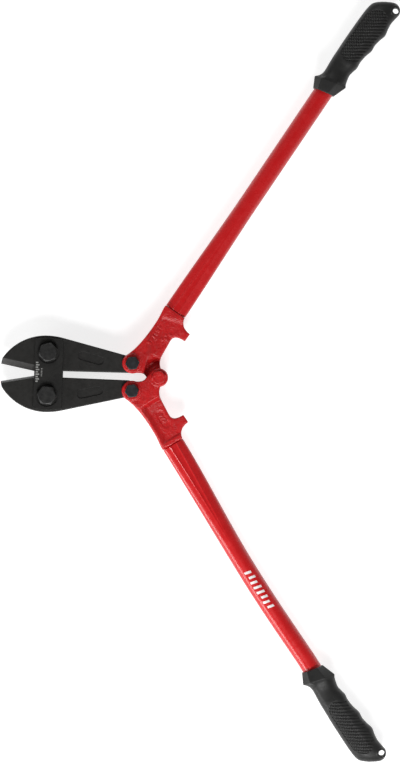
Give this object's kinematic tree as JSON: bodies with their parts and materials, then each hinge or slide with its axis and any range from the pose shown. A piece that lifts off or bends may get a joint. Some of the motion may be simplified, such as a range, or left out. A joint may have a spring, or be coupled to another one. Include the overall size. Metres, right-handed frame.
{
  "type": "bolt cutters",
  "caption": "Long-handled bolt cutters lying open, with compound-lever jaws between cover plates, red forked castings and tubes, and black finger-grooved grips.",
  "frame": {"origin": "centre of the tool's footprint, on the surface it rests on", "axes": "+X from the jaws towards the handles along the tool's centre line, +Y towards the upper handle, +Z out of the front face"},
  "size_m": [0.408, 0.7792, 0.0409],
  "materials": {
    "black_steel": "thin satin black over forged steel",
    "black_fastener": "black oxide, slightly glossy",
    "red_casting": "red paint over rough cast iron",
    "red_tube": "glossy red powder coat over smooth tube",
    "red_fastener": "red paint over a hex bolt",
    "black_rubber": "matte moulded rubber with a knurled panel"
  },
  "bodies": {
    "head": {"cover_plate_front": "black_steel", "cover_plate_rear": "black_steel", "jaw_bolt_upper": "black_fastener", "jaw_bolt_lower": "black_fastener", "jaw_washer_upper": "black_fastener", "jaw_washer_lower": "black_fastener", "jaw_nut_upper": "black_fastener", "jaw_nut_lower": "black_fastener"},
    "upper_jaw": {"jaw_upper": "black_steel"},
    "lower_jaw": {"jaw_lower": "black_steel"},
    "fulcrum": {"fulcrum_bolt": "red_fastener", "fulcrum_washer": "red_fastener", "fulcrum_nut": "red_fastener"},
    "upper_handle": {"handle_casting_upper": "red_casting", "handle_tube_upper": "red_tube", "grip_upper": "black_rubber", "link_bolt_upper": "black_fastener", "link_washer_upper": "black_fastener", "link_nut_upper": "black_fastener"},
    "lower_handle": {"handle_casting_lower": "red_casting", "handle_tube_lower": "red_tube", "grip_lower": "black_rubber", "link_bolt_lower": "black_fastener", "link_washer_lower": "black_fastener", "link_nut_lower": "black_fastener"}
  },
  "joints": [
    {"name": "fulcrum_slide", "type": "slide", "parent": "head", "child": "fulcrum", "axis": [-1, 0, 0], "range_m": [0, 0.0233]},
    {"name": "upper_handle_hinge", "type": "hinge", "parent": "fulcrum", "child": "upper_handle", "pos_m": [-0.042, -0.00327, 0.022], "axis": [0, 0, -1], "range_deg": [0, 56.05]},
    {"name": "lower_handle_hinge", "type": "hinge", "parent": "fulcrum", "child": "lower_handle", "pos_m": [-0.042, -0.00327, 0.022], "axis": [0, 0, 1], "range_deg": [0, 54.35]},
    {"name": "upper_jaw_hinge", "type": "hinge", "parent": "head", "child": "upper_jaw", "pos_m": [-0.15566, 0.01883, 0.022], "axis": [0, 0, 1], "range_deg": [0, 10.7]},
    {"name": "lower_jaw_hinge", "type": "hinge", "parent": "head", "child": "lower_jaw", "pos_m": [-0.15566, -0.02537, 0.022], "axis": [0, 0, -1], "range_deg": [0, 10.7]}
  ],
  "couplings": [
    {"joint": "fulcrum_slide", "follows": "upper_handle_hinge", "m_per_rad": 0.023815},
    {"joint": "lower_handle_hinge", "follows": "upper_handle_hinge", "ratio": 0.96967},
    {"joint": "upper_jaw_hinge", "follows": "upper_handle_hinge", "ratio": 0.19087},
    {"joint": "lower_jaw_hinge", "follows": "upper_handle_hinge", "ratio": 0.19087}
  ]
}
